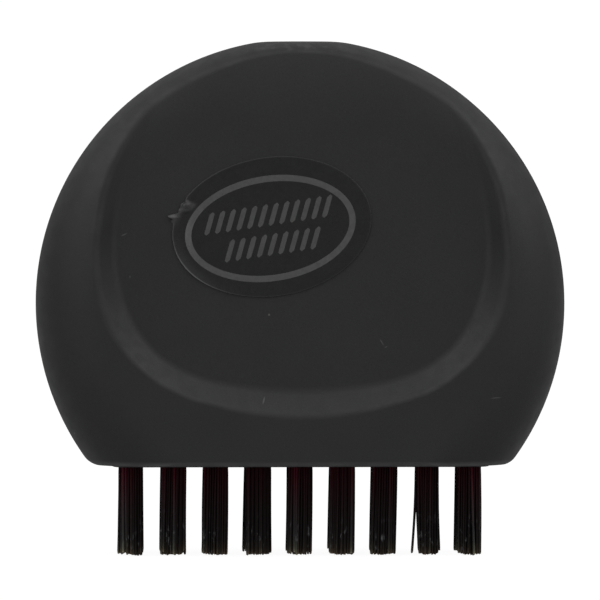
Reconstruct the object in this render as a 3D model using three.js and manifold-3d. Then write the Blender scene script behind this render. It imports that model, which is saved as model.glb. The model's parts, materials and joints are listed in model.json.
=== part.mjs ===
// Club groove brush: a round palm handle, flat across its foot, with two short rows of bristles.
//
// Millimetres, +Z up. Origin: middle of the plane the bristle tips stand on.
// X runs along the rows, Y through the thickness of the handle, and the front faces -Y.
// The handle is two shells split on the plane Y = 0, each with a thumb dish in its face,
// closed round a drilled brush block that holds the tufts.
// Each tuft is in two parts: a root held in its hole by a flat wire, and a free part
// whose origin is at the mouth of the hole, so that it can swing there.

import * as THREE from "three";
import { mergeVertices } from "three/addons/utils/BufferGeometryUtils.js";
import Module from "manifold-3d";

const wasm = await Module();
wasm.setup();
const { smoothstep } = THREE.MathUtils;

// ---------------------------------------------------------------- dimensions
// "Depth" is distance from the split plane.
const OVERRUN = 1; // cutters run on past the surface they open by this much
const BEYOND = { x: 30, y: 12, z: 52 }; // limits that clear the whole handle

const HANDLE_R = 25.0;
const CENTRE_Z = 23.6; // centre of the handle's round outline
const HALF_THICK = 7.5;
const EDGE_R = 6.5; // rounded edge between face and rim
const EDGE_STEPS = 8;
const RIM_HALF = 1.0; // half the width of the straight band round the rim
const HANDLE_FACETS = 96;
const CROWN_FLAT_Z = 48.31; // narrow flat at the very top
const FOOT_Z = 8.5; // flat foot of the shells
const FOOT_CORNER_R = 0.7; // where the foot meets the round outline
const FOOT_CORNER_RISE = 1.2; // trimming outline climbs this much from corner to side
const FOOT_CHAMFER = 0.4;

const DISH_FLOOR = 5.7; // depth of the dish floor at the dish's centre
const DISH_LEAN = 0.0288; // depth lost per millimetre of height
const DISH_CENTRE_Z = CENTRE_Z + 6.19;
// Floor outline as a radius about the dish's centre: sum of DISH_POLAR[k] * cos(k * angle),
// the angle measured from straight down. It runs out of the handle at the top.
const DISH_POLAR = [18.07, -3.09, 0.365, -1.195, -0.15, 0.165, -0.1, 0.12];
const DISH_POINTS = 72;
const DISH_WALL = 2.0; // width of the sloping wall round the dish
const DISH_TOE = 0.35; // extra width at the foot of the dish
const DISH_TOE_TURN = [0.1, 0.6]; // angles from straight down over which that dies away
const DISH_FADE = 2.4; // extra width up the dish's sides
const DISH_FADE_TURN = [1.6, 2.15]; // angles from straight down over which that grows

// The floor rolls off towards the split plane near the crown.
const ROLL_SLOPE = 0.12; // drop per millimetre of run, reached at ROLL_END
const ROLL_POWER = 2.5;
const ROLL_START_MIDDLE = 8.3; // starts this far inside the handle's outline at the middle
const ROLL_START_SIDE = 5.5; // and this far inside it at the sides
const ROLL_SIDE_X = [2, 10]; // distance from the middle over which one becomes the other
const ROLL_END = 1.1; // distance inside the outline
const ROLL_MIN_INSIDE = 0.5;
const ROLL_Z = [37, 43]; // heights over which the roll-off comes in
const ROLL_CUTTER = { width: 36, bottomZ: 37.2, height: 12, cellsX: 18, cellsZ: 10 };
const ROLL_CROWDING = 1.4; // above 1 sets the cutter's cells closer together at the crown

const CAVITY_R = 22.6;
const CAVITY_DEPTH = 4.1;
const CAVITY_BEVEL = 1.2;
const CAVITY_FLOOR_Z = 17.4; // lowest level of the hollow, above the brush block
const CAVITY_FACETS = 60;
const RIB = 1.2; // thickness of the ribs
const RIB_RELIEF = 0.3; // ribs stop this far short of the split plane
const RIB_BITE = 0.4; // ribs and bosses run this far into the shell
const CROSS_RIB_Z = 29.4;
const CROSS_RIB_HALF = 22.4;
const UPRIGHT_RIB_X = 4.6;
const UPRIGHT_RIB_TOP_Z = 46;

const BOSS_R = 2.7;
const PIN_R = 1.4; // locating pins on the back shell
const PIN_LENGTH = 2.4;
const PIN_CHAMFER = 0.3;
const SOCKET_R = 1.5; // sockets in the front shell
const SOCKET_DEPTH = 2.8;
const BOSS_FACETS = 20; // also for pins and sockets
// x, z of each boss
const BOSSES = [
  [-15.2, 21.4],
  [15.2, 21.4],
  [-12.6, 37.6],
  [12.6, 37.6],
];

const BLOCK_Z = 8.3; // underside of the brush block, a little proud of the foot
const BLOCK_TOP_Z = 15.4;
const BLOCK_HALF_X = 17.9;
const BLOCK_HALF_Y = 4.4;
const BLOCK_CORNER_R = 1.5;
const FLANGE_Z = 12.8; // underside of the flange that keeps the block in
const FLANGE_HALF_X = 19.7;
const BLOCK_GAP = 0.12; // clearance between block and shells
const BLOCK_HEADROOM = 0.3; // clearance above the block

const COLUMNS = 9; // tufts in a row
const PITCH = 4.0;
const ROW_Y = 2.5; // the rows lie at plus and minus this
const HOLE_R = 1.4;
const HOLE_TOP_Z = 14.3;
const HOLE_CONE = 0.5; // height of the pointed end above that
const HOLE_FACETS = 16;

const TUFT_R = 1.25;
const TUFT_FACETS = 12;
const TUFT_HEAD_STEPS = 4;
const TIP_EASE = { inset: 0.25, height: 0.35 }; // eased edge at the tips
const ROOT_FROM_Z = 9.8;
const ROOT_TO_Z = 14.1;
const ROOT_EASE = { inset: 0.5, height: 0.4 }; // eased edge at the top of the root
const ANCHOR = { length: 2.5, thickness: 0.4, height: 1.5, bevel: 0.3 }; // flat wire
const ANCHOR_Z = 12.7;
const ANCHOR_SLOT = { halfLength: 3, width: 0.6, height: 1.8 }; // cut through the root

const LABEL_HALF = { x: 9.43, z: 6.54 }; // half axes of the oval
const LABEL_THICK = 0.12;
const LABEL_AT = { x: -2.8, z: 31.1 };
const LABEL_TILT = THREE.MathUtils.degToRad(8.5);
const LABEL_GAP = 0.02; // adhesive under the label
const LABEL_CURVE_SEGMENTS = 36;

const ROUNDING_SEGMENTS = 4; // per rounded corner of an extruded shape

// ---------------------------------------------------------------- materials
const standard = (settings) => new THREE.MeshStandardMaterial(settings);
const plastic = () => standard({ color: 0x1c1c1d, roughness: 0.62, metalness: 0 });
const nylon = () => standard({ color: 0x0d0a0a, roughness: 0.45, metalness: 0 });
const wire = () => standard({ color: 0xb08d4a, roughness: 0.35, metalness: 1 });
const film = () => standard({ color: 0x171718, roughness: 0.18, metalness: 0 });

// ---------------------------------------------------------------- solids
// A closed three.js geometry as a solid, turned right side out if it came inside out.
function solid(geometry) {
  const bare = geometry.clone();
  for (const name of Object.keys(bare.attributes)) {
    if (name !== "position") bare.deleteAttribute(name);
  }
  const merged = mergeVertices(bare, 1e-4);
  const corners = merged.index.array;
  const triangles = []; // without those that merging has collapsed
  for (let i = 0; i < corners.length; i += 3) {
    const [a, b, c] = corners.slice(i, i + 3);
    if (a !== b && b !== c && c !== a) triangles.push(a, b, c);
  }
  const build = () =>
    new wasm.Manifold(
      new wasm.Mesh({
        numProp: 3,
        vertProperties: new Float32Array(merged.attributes.position.array),
        triVerts: new Uint32Array(triangles),
      }),
    );
  const body = build();
  if (body.volume() >= 0) return body;
  for (let i = 0; i < triangles.length; i += 3) {
    [triangles[i + 1], triangles[i + 2]] = [triangles[i + 2], triangles[i + 1]];
  }
  return build();
}

// A solid as a flat-shaded three.js geometry.
function geometryOf(body) {
  const mesh = body.getMesh();
  const indexed = new THREE.BufferGeometry();
  indexed.setAttribute("position", new THREE.BufferAttribute(mesh.vertProperties, 3));
  indexed.setIndex(new THREE.BufferAttribute(mesh.triVerts, 1));
  const flat = indexed.toNonIndexed();
  flat.computeVertexNormals();
  return flat;
}

const cutAll = (body, tools) => tools.reduce((left, tool) => left.subtract(tool), body);
const joinAll = (body, parts) => parts.reduce((whole, part) => whole.add(part), body);

// Moves every vertex of a geometry to the [x, y, z] that place(x, y, z) returns.
function moveVertices(geometry, place) {
  const points = geometry.attributes.position;
  for (let i = 0; i < points.count; i++) {
    points.setXYZ(i, ...place(points.getX(i), points.getY(i), points.getZ(i)));
  }
  return geometry;
}

function box(x0, x1, y0, y1, z0, z1) {
  const geometry = new THREE.BoxGeometry(x1 - x0, y1 - y0, z1 - z0);
  geometry.translate((x0 + x1) / 2, (y0 + y1) / 2, (z0 + z1) / 2);
  return solid(geometry);
}

// [radius, height] pairs as a surface of revolution about the Y axis.
const lathe = (profile, facets) =>
  new THREE.LatheGeometry(profile.map((pair) => new THREE.Vector2(...pair)), facets);

// Revolved about an upright axis through (x, y). Profile: [radius, z] pairs.
function turned(profile, facets, x = 0, y = 0) {
  return solid(lathe(profile, facets).rotateX(Math.PI / 2).translate(x, y, 0));
}

// Revolved about an axis along Y through (x, z). Profile: [radius, y] pairs.
function disc(profile, facets, x, z) {
  return solid(lathe(profile, facets).translate(x, 0, z));
}

// A plain cylinder along Y from y0 to y1.
function peg(radius, y0, y1, x, z) {
  return disc([[0, y0], [radius, y0], [radius, y1], [0, y1]], BOSS_FACETS, x, z);
}

// Profile points of a quarter circle, from its widest point up to its top.
function quarterArc(centreRadius, centreHeight, radius, steps) {
  return Array.from({ length: steps + 1 }, (_, i) => {
    const angle = (i / steps) * (Math.PI / 2);
    return [
      centreRadius + radius * Math.cos(angle),
      centreHeight + radius * Math.sin(angle),
    ];
  });
}

const polygon = (points) => new THREE.Shape(points.map((pair) => new THREE.Vector2(...pair)));

const extrude = (shape, depth, curveSegments = ROUNDING_SEGMENTS) =>
  new THREE.ExtrudeGeometry(shape, { depth, bevelEnabled: false, curveSegments });

// A shape drawn in (x, z), pushed along Y from y0 to y1.
function plate(shape, y0, y1, curveSegments) {
  const geometry = extrude(shape, y1 - y0, curveSegments);
  geometry.rotateX(Math.PI / 2); // shape up becomes +Z, depth runs to -Y
  return solid(geometry.translate(0, y1, 0));
}

// A shape drawn in (y, z), pushed along X from -halfLength to +halfLength.
function beam(shape, halfLength) {
  const geometry = extrude(shape, 2 * halfLength).translate(0, 0, -halfLength);
  const axes = [[0, 1, 0], [0, 0, 1], [1, 0, 0]].map((axis) => new THREE.Vector3(...axis));
  return solid(geometry.applyMatrix4(new THREE.Matrix4().makeBasis(...axes)));
}

// A rounded rectangle in plan, pushed up from z0 to z1.
function padBlock(halfX, halfY, z0, z1) {
  const radius = BLOCK_CORNER_R;
  const centreX = halfX - radius;
  const centreY = halfY - radius;
  const shape = new THREE.Shape();
  shape.moveTo(-centreX, -halfY);
  shape.lineTo(centreX, -halfY);
  // Each arc is joined to the one before it by a straight side.
  [[1, -1], [1, 1], [-1, 1], [-1, -1]].forEach(([sideX, sideY], i) => {
    const start = ((i - 1) * Math.PI) / 2;
    shape.absarc(sideX * centreX, sideY * centreY, radius, start, start + Math.PI / 2);
  });
  return solid(extrude(shape, z1 - z0).translate(0, 0, z0));
}

// ---------------------------------------------------------------- outside of a shell
// Half of the round handle, on the +Y side of the split plane.
function handleHalf() {
  const profile = [
    [0, 0],
    [HANDLE_R, 0],
    ...quarterArc(HANDLE_R - EDGE_R, RIM_HALF, EDGE_R, EDGE_STEPS),
    [0, HALF_THICK],
  ];
  return disc(profile, HANDLE_FACETS, 0, CENTRE_Z);
}

// Trimming outline in (x, z): flat foot with eased corners, clear of the sides, flat crown.
function trimOutline() {
  const sideX = HANDLE_R + OVERRUN;
  const radius = FOOT_CORNER_R;
  const cornerZ = FOOT_Z + radius;
  const drop = CENTRE_Z - FOOT_Z - radius; // from the handle's centre to the corner's
  const cornerX = Math.sqrt((HANDLE_R - radius) ** 2 - drop ** 2);
  const meeting = Math.atan2(-drop, cornerX); // where the corner touches the round outline
  const shape = new THREE.Shape();
  shape.moveTo(cornerX, FOOT_Z);
  shape.absarc(cornerX, cornerZ, radius, -Math.PI / 2, meeting);
  shape.lineTo(sideX, cornerZ + FOOT_CORNER_RISE);
  shape.lineTo(sideX, CROWN_FLAT_Z);
  shape.lineTo(-sideX, CROWN_FLAT_Z);
  shape.lineTo(-sideX, cornerZ + FOOT_CORNER_RISE);
  shape.absarc(-cornerX, cornerZ, radius, Math.PI - meeting, 1.5 * Math.PI);
  return shape;
}

// Long block whose lower edge on the +Y side gives the shell its foot chamfer.
function footTrim() {
  const section = polygon([
    [0, FOOT_Z],
    [HALF_THICK - FOOT_CHAMFER, FOOT_Z],
    [HALF_THICK, FOOT_Z + FOOT_CHAMFER],
    [HALF_THICK + OVERRUN, FOOT_Z + FOOT_CHAMFER],
    [HALF_THICK + OVERRUN, BEYOND.z],
    [0, BEYOND.z],
  ]);
  return beam(section, BEYOND.x);
}

// ---------------------------------------------------------------- thumb dish
// Point and outward normal of the floor's outline; turn is the angle from straight down.
function dishEdge(angle) {
  let radius = 0;
  let slope = 0; // change of radius with angle
  DISH_POLAR.forEach((coefficient, k) => {
    radius += coefficient * Math.cos(k * angle);
    slope -= k * coefficient * Math.sin(k * angle);
  });
  const sin = Math.sin(angle);
  const cos = Math.cos(angle);
  const tangentX = slope * sin + radius * cos;
  const tangentZ = -slope * cos + radius * sin;
  const length = Math.hypot(tangentX, tangentZ);
  return {
    x: radius * sin,
    z: DISH_CENTRE_Z - radius * cos,
    normalX: tangentZ / length,
    normalZ: -tangentX / length,
    turn: Math.min(angle, 2 * Math.PI - angle),
  };
}

const dishEdges = Array.from({ length: DISH_POINTS }, (_, i) =>
  dishEdge((i / DISH_POINTS) * 2 * Math.PI),
);
const dishShape = polygon(dishEdges.map(({ x, z }) => [x, z]));

function nearestEdge(x, z) {
  const distance = (edge) => (edge.x - x) ** 2 + (edge.z - z) ** 2;
  return dishEdges.reduce((best, edge) => (distance(edge) < distance(best) ? edge : best));
}

// Depth of the leaning floor, before it rolls off.
const floorDepth = (z) => DISH_FLOOR - DISH_LEAN * (z - DISH_CENTRE_Z);

// Depth lost to the roll-off near the crown.
function rollOff(x, z) {
  const inside = Math.max(HANDLE_R - Math.hypot(x, z - CENTRE_Z), ROLL_MIN_INSIDE);
  const sideways = smoothstep(Math.abs(x), ...ROLL_SIDE_X);
  const start = ROLL_START_MIDDLE + (ROLL_START_SIDE - ROLL_START_MIDDLE) * sideways;
  const scale = ROLL_SLOPE / (start - ROLL_END) ** (ROLL_POWER - 1);
  return scale * Math.max(start - inside, 0) ** ROLL_POWER * smoothstep(z, ...ROLL_Z);
}

const wallWidth = (turn) =>
  DISH_WALL +
  DISH_TOE * (1 - smoothstep(turn, ...DISH_TOE_TURN)) +
  DISH_FADE * smoothstep(turn, ...DISH_FADE_TURN);

// The floor's outline pushed out of the face, its outer end spread to make the sloping wall.
function dishCutter() {
  const geometry = moveVertices(extrude(dishShape, 1), (x, z, along) => {
    const depth = floorDepth(z);
    if (along < 0.5) return [x, depth, z];
    const edge = nearestEdge(x, z);
    const stretch = (HALF_THICK + OVERRUN - depth) / (HALF_THICK - depth);
    const reach = wallWidth(edge.turn) * stretch;
    return [x + edge.normalX * reach, HALF_THICK + OVERRUN, z + edge.normalZ * reach];
  });
  return solid(geometry);
}

// Removes the material between the leaning floor and its roll-off at the crown.
function crownCutter() {
  const { width, bottomZ, height, cellsX, cellsZ } = ROLL_CUTTER;
  const grid = new THREE.BoxGeometry(width, 1, 1, cellsX, 1, cellsZ);
  moveVertices(grid, (x, outward, up) => {
    const z = bottomZ + height * (1 - (0.5 - up) ** ROLL_CROWDING);
    return [x, outward > 0 ? HALF_THICK + OVERRUN : floorDepth(z) - rollOff(x, z), z];
  });
  const column = plate(dishShape, 3, 9); // from under the rolled floor to clear of the face
  return solid(grid).intersect(column);
}

// ---------------------------------------------------------------- inside of a shell
function cavityCutter() {
  const profile = [
    [0, -OVERRUN],
    [CAVITY_R, -OVERRUN],
    [CAVITY_R, CAVITY_DEPTH - CAVITY_BEVEL],
    [CAVITY_R - CAVITY_BEVEL, CAVITY_DEPTH],
    [0, CAVITY_DEPTH],
  ];
  const below = box(-BEYOND.x, BEYOND.x, -BEYOND.y, BEYOND.y, 0, CAVITY_FLOOR_Z);
  return disc(profile, CAVITY_FACETS, 0, CENTRE_Z).subtract(below);
}

// One rib across, two upright ribs, and the bosses.
function ribsAndBosses() {
  const end = CAVITY_DEPTH + RIB_BITE;
  const rib = (x0, x1, z0, z1) => box(x0, x1, RIB_RELIEF, end, z0, z1);
  const upright = (x) =>
    rib(x - RIB / 2, x + RIB / 2, CAVITY_FLOOR_Z - RIB_BITE, UPRIGHT_RIB_TOP_Z);
  return [
    rib(-CROSS_RIB_HALF, CROSS_RIB_HALF, CROSS_RIB_Z - RIB / 2, CROSS_RIB_Z + RIB / 2),
    upright(-UPRIGHT_RIB_X),
    upright(UPRIGHT_RIB_X),
    ...BOSSES.map(([x, z]) => peg(BOSS_R, 0, end, x, z)),
  ];
}

function blockPocket() {
  const gap = BLOCK_GAP;
  const halfY = BLOCK_HALF_Y + gap;
  const mouth = padBlock(BLOCK_HALF_X + gap, halfY, FOOT_Z - OVERRUN, FLANGE_Z);
  const topZ = BLOCK_TOP_Z + BLOCK_HEADROOM;
  return mouth.add(padBlock(FLANGE_HALF_X + gap, halfY, FLANGE_Z - gap, topZ));
}

// ---------------------------------------------------------------- shells
// What both shells share, drawn on the +Y side.
function shellHalf() {
  const trimmed = handleHalf()
    .intersect(plate(trimOutline(), -OVERRUN, BEYOND.y))
    .intersect(footTrim());
  const hollowed = cutAll(trimmed, [dishCutter(), crownCutter(), cavityCutter()]);
  return joinAll(hollowed, ribsAndBosses()).subtract(blockPocket());
}

// A pin that reaches over the split plane to -Y, rooted in its boss.
function pin([x, z]) {
  const profile = [
    [0, -PIN_LENGTH],
    [PIN_R - PIN_CHAMFER, -PIN_LENGTH],
    [PIN_R, -PIN_LENGTH + PIN_CHAMFER],
    [PIN_R, OVERRUN],
    [0, OVERRUN],
  ];
  return disc(profile, BOSS_FACETS, x, z);
}

const socket = ([x, z]) => peg(SOCKET_R, -OVERRUN, SOCKET_DEPTH, x, z);

// ---------------------------------------------------------------- brush block
// Middle of each hole and tuft, row by row.
const stations = [["front", -ROW_Y], ["back", ROW_Y]].flatMap(([row, y]) =>
  Array.from({ length: COLUMNS }, (_, i) => ({
    row,
    number: i + 1,
    x: (i - (COLUMNS - 1) / 2) * PITCH,
    y,
  })),
);

function hole({ x, y }) {
  const profile = [
    [0, BLOCK_Z - OVERRUN],
    [HOLE_R, BLOCK_Z - OVERRUN],
    [HOLE_R, HOLE_TOP_Z],
    [0, HOLE_TOP_Z + HOLE_CONE],
  ];
  return turned(profile, HOLE_FACETS, x, y);
}

function brushBlock() {
  const body = padBlock(BLOCK_HALF_X, BLOCK_HALF_Y, BLOCK_Z, BLOCK_TOP_Z);
  const flange = padBlock(FLANGE_HALF_X, BLOCK_HALF_Y, FLANGE_Z, BLOCK_TOP_Z);
  return cutAll(body.add(flange), stations.map(hole));
}

// ---------------------------------------------------------------- tufts
// Free part, with its origin at the mouth of the hole: a rounded head inside the hole
// and a straight bundle below it, eased at the tips.
function tuft() {
  const profile = [
    [0, -BLOCK_Z],
    [TUFT_R - TIP_EASE.inset, -BLOCK_Z],
    [TUFT_R, -BLOCK_Z + TIP_EASE.height],
    ...quarterArc(0, 0, TUFT_R, TUFT_HEAD_STEPS).slice(0, -1),
    [0, TUFT_R], // exactly on the axis
  ];
  return turned(profile, TUFT_FACETS);
}

// Held part: the folded ends, with a slot across for the anchor.
function root() {
  const profile = [
    [0, ROOT_FROM_Z],
    [TUFT_R, ROOT_FROM_Z],
    [TUFT_R, ROOT_TO_Z - ROOT_EASE.height],
    [TUFT_R - ROOT_EASE.inset, ROOT_TO_Z],
    [0, ROOT_TO_Z],
  ];
  const { halfLength, width, height } = ANCHOR_SLOT;
  const [bottom, top] = [ANCHOR_Z - height / 2, ANCHOR_Z + height / 2];
  const slot = box(-halfLength, halfLength, -width / 2, width / 2, bottom, top);
  return turned(profile, TUFT_FACETS).subtract(slot);
}

// Flat wire with its two lower corners bevelled.
function anchor() {
  const { length, thickness, height, bevel } = ANCHOR;
  const end = length / 2;
  const bottom = ANCHOR_Z - height / 2;
  const top = ANCHOR_Z + height / 2;
  const shape = polygon([
    [-end, bottom + bevel],
    [-end + bevel, bottom],
    [end - bevel, bottom],
    [end, bottom + bevel],
    [end, top],
    [-end, top],
  ]);
  return plate(shape, -thickness / 2, thickness / 2);
}

// ---------------------------------------------------------------- label
// Oval film lying in XZ, its back on y = 0 and its face towards -Y.
function label() {
  const shape = new THREE.Shape();
  shape.absellipse(0, 0, LABEL_HALF.x, LABEL_HALF.z, 0, Math.PI * 2);
  return plate(shape, -LABEL_THICK, 0, LABEL_CURVE_SEGMENTS);
}

// ---------------------------------------------------------------- assembly
function addMesh(parent, name, body, material) {
  const mesh = new THREE.Mesh(geometryOf(body), material);
  mesh.name = name;
  parent.add(mesh);
  return mesh;
}

function addShells(parent) {
  const half = shellHalf();
  addMesh(parent, "back_shell", joinAll(half, BOSSES.map(pin)), plastic());
  const front = addMesh(parent, "front_shell", cutAll(half, BOSSES.map(socket)), plastic());
  front.scale.y = -1; // mirrored to the -Y side
}

// The label lies on the leaning floor of the front dish.
function addLabel(parent) {
  const onFloor = new THREE.Group();
  const y = -(floorDepth(LABEL_AT.z) + LABEL_GAP);
  onFloor.position.set(LABEL_AT.x, y, LABEL_AT.z);
  onFloor.rotation.x = -Math.atan(DISH_LEAN);
  parent.add(onFloor);
  addMesh(onFloor, "label_film", label(), film()).rotation.y = -LABEL_TILT;
}

function addTufts(parent) {
  const rootSolid = root();
  const anchorSolid = anchor();
  const tuftSolid = tuft();
  for (const { row, number, x, y } of stations) {
    const station = new THREE.Group();
    station.position.set(x, y, 0);
    parent.add(station);
    addMesh(station, `${row}_root_${number}`, rootSolid, nylon());
    addMesh(station, `${row}_anchor_${number}`, anchorSolid, wire());
    addMesh(station, `${row}_tuft_${number}`, tuftSolid, nylon()).position.z = BLOCK_Z;
  }
}

const brush = new THREE.Group();
brush.name = "club_groove_brush";
const handle = new THREE.Group();
brush.add(handle);
addShells(handle);
addMesh(handle, "brush_block", brushBlock(), plastic());
addLabel(handle);
addTufts(handle);

export default brush;
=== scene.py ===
"""A flat round brush: two moulded handle shells round a block with two rows of bristle tufts.

The brush stands on its bristle tips at z = 0, with the handle's flat crown at the top. X runs
across it, and the shells meet on the plane y = 0. The front (-y) carries an oval label.
Lengths are in millimetres until they reach Blender, unless a comment says metres.
"""
import json
import math

import bmesh
import bpy
import numpy as np
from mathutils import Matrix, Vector


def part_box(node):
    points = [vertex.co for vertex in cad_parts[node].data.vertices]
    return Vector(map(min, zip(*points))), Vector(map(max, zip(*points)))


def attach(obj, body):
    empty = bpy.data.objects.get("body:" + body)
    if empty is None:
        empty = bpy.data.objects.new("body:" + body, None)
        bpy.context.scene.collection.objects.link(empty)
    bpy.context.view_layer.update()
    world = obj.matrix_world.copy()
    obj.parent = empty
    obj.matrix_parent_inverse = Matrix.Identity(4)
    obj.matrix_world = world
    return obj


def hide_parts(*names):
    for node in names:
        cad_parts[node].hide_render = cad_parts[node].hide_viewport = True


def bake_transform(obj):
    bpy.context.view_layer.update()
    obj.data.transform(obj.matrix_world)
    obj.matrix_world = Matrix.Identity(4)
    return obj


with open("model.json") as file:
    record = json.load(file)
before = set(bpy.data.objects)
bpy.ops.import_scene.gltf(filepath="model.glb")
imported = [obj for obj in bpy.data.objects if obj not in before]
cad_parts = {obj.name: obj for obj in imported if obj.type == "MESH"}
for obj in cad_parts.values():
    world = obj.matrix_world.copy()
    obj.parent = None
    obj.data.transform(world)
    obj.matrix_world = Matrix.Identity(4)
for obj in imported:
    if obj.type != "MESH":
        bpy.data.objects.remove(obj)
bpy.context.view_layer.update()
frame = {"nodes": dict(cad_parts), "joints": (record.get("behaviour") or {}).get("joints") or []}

scene = bpy.context.scene
MM = 0.001

# ------------------------------------------------------------------ shared dimensions
shell_low, shell_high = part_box("back_shell")
OUTLINE_R = (shell_high.x - shell_low.x) / 2 / MM
HALF_THICK = shell_high.y / MM        # at the belly
CROWN = shell_high.z / MM             # flat at the top
FOOT = shell_low.z / MM               # foot of the shells
OUTLINE_Z = 23.6                      # centre of the outline
EDGE_R = 6.5                          # rounded edge of the outer face
RIM = 1.0                             # straight band between the edge and the split plane
SIDE_CORNER_R, CROWN_CORNER_R = 0.7, 0.15     # outline corners at the foot and the crown
FOOT_R = 0.42                         # outer face rolled over at the foot

# dish in the outer face; its turn is measured in radians from straight down
DISH_Z = OUTLINE_Z + 6.19             # centre the dish is drawn about
DISH_FLOOR = 5.7                      # floor to split plane, at DISH_Z
DISH_LEAN = 0.0288                    # depth lost per millimetre of height
DISH_POLAR = [18.07, -3.09, 0.365, -1.195, -0.15, 0.165, -0.1, 0.12]   # cosine terms of its radius
WALL = 2.0                            # width of the sloping wall
TOE_EXTRA, TOE_TURN = 0.35, (0.1, 0.6)        # wider wall at the toe of the dish
FADE_EXTRA, FADE_TURN = 2.4, (1.6, 2.15)      # wall fading out up the sides
SIDE_TURN, TOP_TURN = (0.85, 1.35), (2.0, 2.5)
ROLL = 0.12                           # how far the floor rolls off towards the crown
ROLL_FROM = (8.3, 5.5)                # from this far inside the outline: mid-width, sides

flange_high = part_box("brush_block")[1]
FLANGE_X = flange_high.x / MM
NECK_X = FLANGE_X - 1.8
BLOCK_Y, BLOCK_CORNER_R = 4.4, 1.5    # half depth of the block, corners in plan
FLANGE_FOOT, FLANGE_TOP, FLANGE_CHAMFER = 12.8, 15.4, 0.1
GAP = 0.12                            # clearance round the block

joints = {joint["name"]: joint for joint in frame["joints"]}
MOUTH = joints["front_lean_5"]["pos_m"][2] / MM      # underside of the block
ROWS = ("front", "back")
TUFTS = range(1, 10)


def column_x(tuft):
    return joints[f"front_lean_{tuft}"]["pos_m"][0] / MM


def row_y(row):
    return joints[f"{row}_lean_1"]["pos_m"][1] / MM


# ------------------------------------------------------------------ blending functions
def smoothstep(value, start, end):
    t = np.clip((value - start) / (end - start), 0, 1)
    return t * t * (3 - 2 * t)


def soft_min(a, b, blend):
    share = np.clip(0.5 + 0.5 * (b - a) / blend, 0, 1)
    return b * (1 - share) + a * share - blend * share * (1 - share)


def soft_max(a, b, blend):
    return -soft_min(-a, -b, blend)


def rounded_max(a, b, radius):
    """Intersection of two signed distances with its corner rounded."""
    a, b = a + radius, b + radius
    outside = np.hypot(np.maximum(a, 0), np.maximum(b, 0))
    return outside + np.minimum(np.maximum(a, b), 0) - radius


def around(degrees, centre, width, power=2):
    """Bell of height 1 about a bearing."""
    away = (degrees - centre + 180) % 360 - 180
    return np.exp(-((away / width) ** power))


# ------------------------------------------------------------------ mesh helpers
def tidy(ob, sharp=None, weld=0.0):
    """Faces outward and smooth; optional sharp angle in degrees and weld distance in metres."""
    bm = bmesh.new()
    bm.from_mesh(ob.data)
    if weld:
        bmesh.ops.remove_doubles(bm, verts=bm.verts, dist=weld)
        bmesh.ops.dissolve_degenerate(bm, edges=bm.edges, dist=weld * 0.5)
    bmesh.ops.recalc_face_normals(bm, faces=bm.faces)
    bm.to_mesh(ob.data)
    bm.free()
    ob.data.polygons.foreach_set("use_smooth", [True] * len(ob.data.polygons))
    if sharp is not None:
        ob.data.set_sharp_from_angle(angle=math.radians(sharp))
    ob.data.update()


def link_object(name, data):
    ob = bpy.data.objects.new(name, data)
    scene.collection.objects.link(ob)
    return ob


def mesh_object(name, verts, faces, sharp=None):
    mesh = bpy.data.meshes.new(name)
    verts = [tuple(v) for v in np.asarray(verts, float) * MM]
    mesh.from_pydata(verts, [], [tuple(int(i) for i in face) for face in faces])
    mesh.validate(clean_customdata=False)
    ob = link_object(name, mesh)
    tidy(ob, sharp)
    return ob


def solid(name, rings, centres=None, sharp=None):
    """Closed solid through rings of equal length, each end capped with a fan."""
    count = len(rings[0])
    if centres is None:
        centres = [tuple(np.mean(np.asarray(ring), axis=0)) for ring in (rings[0], rings[-1])]
    verts = [point for ring in rings for point in ring]
    faces = []
    for k in range(len(rings) - 1):
        a, b = k * count, (k + 1) * count
        for i in range(count):
            j = (i + 1) % count
            faces.append((a + i, a + j, b + j, b + i))
    for centre, first in zip(centres, (0, (len(rings) - 1) * count)):
        verts.append(centre)
        for i in range(count):
            faces.append((first + i, first + (i + 1) % count, len(verts) - 1))
    return mesh_object(name, verts, faces, sharp)


def circle(radius, count):
    angles = [2 * math.pi * i / count for i in range(count)]
    return [(radius * math.cos(a), radius * math.sin(a)) for a in angles]


def pad(half_x, half_y, corner_r, levels, segments=10):
    """Rings of a rounded rectangle in plan, one for each (inset, z) level."""
    rings = []
    for inset, z in levels:
        r = max(corner_r - inset, 0.05)
        cx, cy = half_x - inset - r, half_y - inset - r
        ring = []
        for x, y, start in ((cx, cy, 0), (-cx, cy, 90), (-cx, -cy, 180), (cx, -cy, 270)):
            for i in range(segments + 1):
                a = math.radians(start + 90 * i / segments)
                ring.append((x + r * math.cos(a), y + r * math.sin(a), z))
        rings.append(ring)
    return rings


def cut(ob, tool, operation="DIFFERENCE"):
    """Cuts ob with tool, or joins them, and removes the tool."""
    boolean = ob.modifiers.new("cut", "BOOLEAN")
    boolean.operation = operation
    boolean.solver = "MANIFOLD"
    boolean.object = tool
    bpy.context.view_layer.update()
    graph = bpy.context.evaluated_depsgraph_get()
    mesh = bpy.data.meshes.new_from_object(ob.evaluated_get(graph))
    # the manifold solver gives next to nothing if a mesh isn't watertight
    if len(mesh.polygons) < 12:
        boolean.solver = "EXACT"
        graph = bpy.context.evaluated_depsgraph_get()
        mesh = bpy.data.meshes.new_from_object(ob.evaluated_get(graph))
    ob.modifiers.clear()
    ob.data = mesh
    bpy.data.objects.remove(tool, do_unlink=True)


def store(mesh, name, values):
    """Point attribute of one float per vertex."""
    attribute = mesh.attributes.new(name, "FLOAT", "POINT")
    attribute.data.foreach_set("value", values.astype(np.float32))


def coordinates(mesh):
    return np.array([vertex.co[:] for vertex in mesh.vertices]) / MM


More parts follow.
